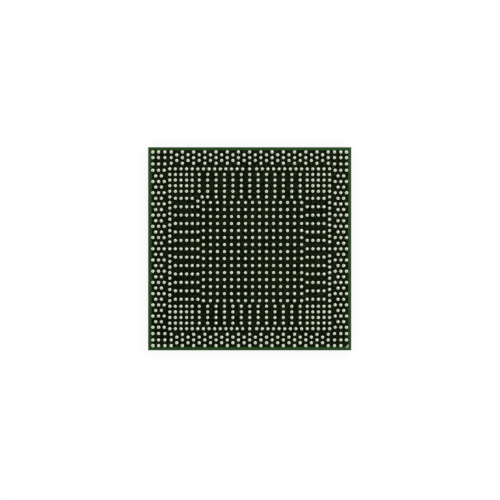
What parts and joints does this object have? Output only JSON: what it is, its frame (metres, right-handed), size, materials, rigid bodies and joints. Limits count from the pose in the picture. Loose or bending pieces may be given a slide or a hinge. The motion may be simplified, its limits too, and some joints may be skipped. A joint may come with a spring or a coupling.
{
  "type": "bga chip",
  "caption": "Square flip-chip ball grid array package with a staggered solder ball field, a marked first corner, and a bare die with chip capacitors on the other side.",
  "frame": {"origin": "middle of the die's back face, on the surface that the chip lies on with its balls up", "axes": "+Z from the die's back to the solder balls; X and Y along the board's edges, with the triangle that marks the first ball's corner at +X and -Y"},
  "size_m": [0.029, 0.029, 0.0025],
  "materials": {
    "laminate": "sawn edge of glass cloth, resin and thin copper layers",
    "ball_side_mask": "near-black green solder mask over copper, green where the copper stops",
    "die_side_mask": "green solder mask",
    "solder": "satin tin, silver and copper solder as it froze",
    "tinned_mark": "flat tinned copper",
    "gold_mark": "flat gold-plated copper",
    "silicon": "ground silicon, a dark grey mirror",
    "underfill": "glossy cured epoxy filled with fine silica",
    "capacitor_ceramic": "fired tan ceramic",
    "tin_plate": "dull tin plate"
  },
  "bodies": {
    "root": {"laminate": "laminate", "ball_side_mask": "ball_side_mask", "die_side_mask": "die_side_mask", "ball_side_mark": "tinned_mark", "die_side_mark": "gold_mark", "die": "silicon", "die_bumps": "solder", "underfill": "underfill", "capacitor_ends": "tin_plate", "capacitor_solder": "solder", "tip_balls": "solder", "corner_balls": "solder", "north_band_balls": "solder", "west_band_balls": "solder", "south_band_balls": "solder", "east_band_balls": "solder", "ring_balls": "solder", "block_balls": "solder", "north_line_balls": "solder", "west_line_balls": "solder", "south_line_balls": "solder", "east_line_balls": "solder", "core_balls": "solder", "capacitor_north_1": "capacitor_ceramic", "capacitor_north_2": "capacitor_ceramic", "capacitor_north_3": "capacitor_ceramic", "capacitor_north_4": "capacitor_ceramic", "capacitor_north_5": "capacitor_ceramic", "capacitor_north_6": "capacitor_ceramic", "capacitor_west_1": "capacitor_ceramic", "capacitor_west_2": "capacitor_ceramic", "capacitor_west_3": "capacitor_ceramic", "capacitor_west_4": "capacitor_ceramic", "capacitor_west_5": "capacitor_ceramic", "capacitor_west_6": "capacitor_ceramic", "capacitor_south_1": "capacitor_ceramic", "capacitor_south_2": "capacitor_ceramic", "capacitor_south_3": "capacitor_ceramic", "capacitor_south_4": "capacitor_ceramic", "capacitor_south_5": "capacitor_ceramic", "capacitor_south_6": "capacitor_ceramic", "capacitor_east_1": "capacitor_ceramic", "capacitor_east_2": "capacitor_ceramic", "capacitor_east_3": "capacitor_ceramic", "capacitor_east_4": "capacitor_ceramic", "capacitor_east_5": "capacitor_ceramic", "capacitor_east_6": "capacitor_ceramic"}
  },
  "joints": []
}
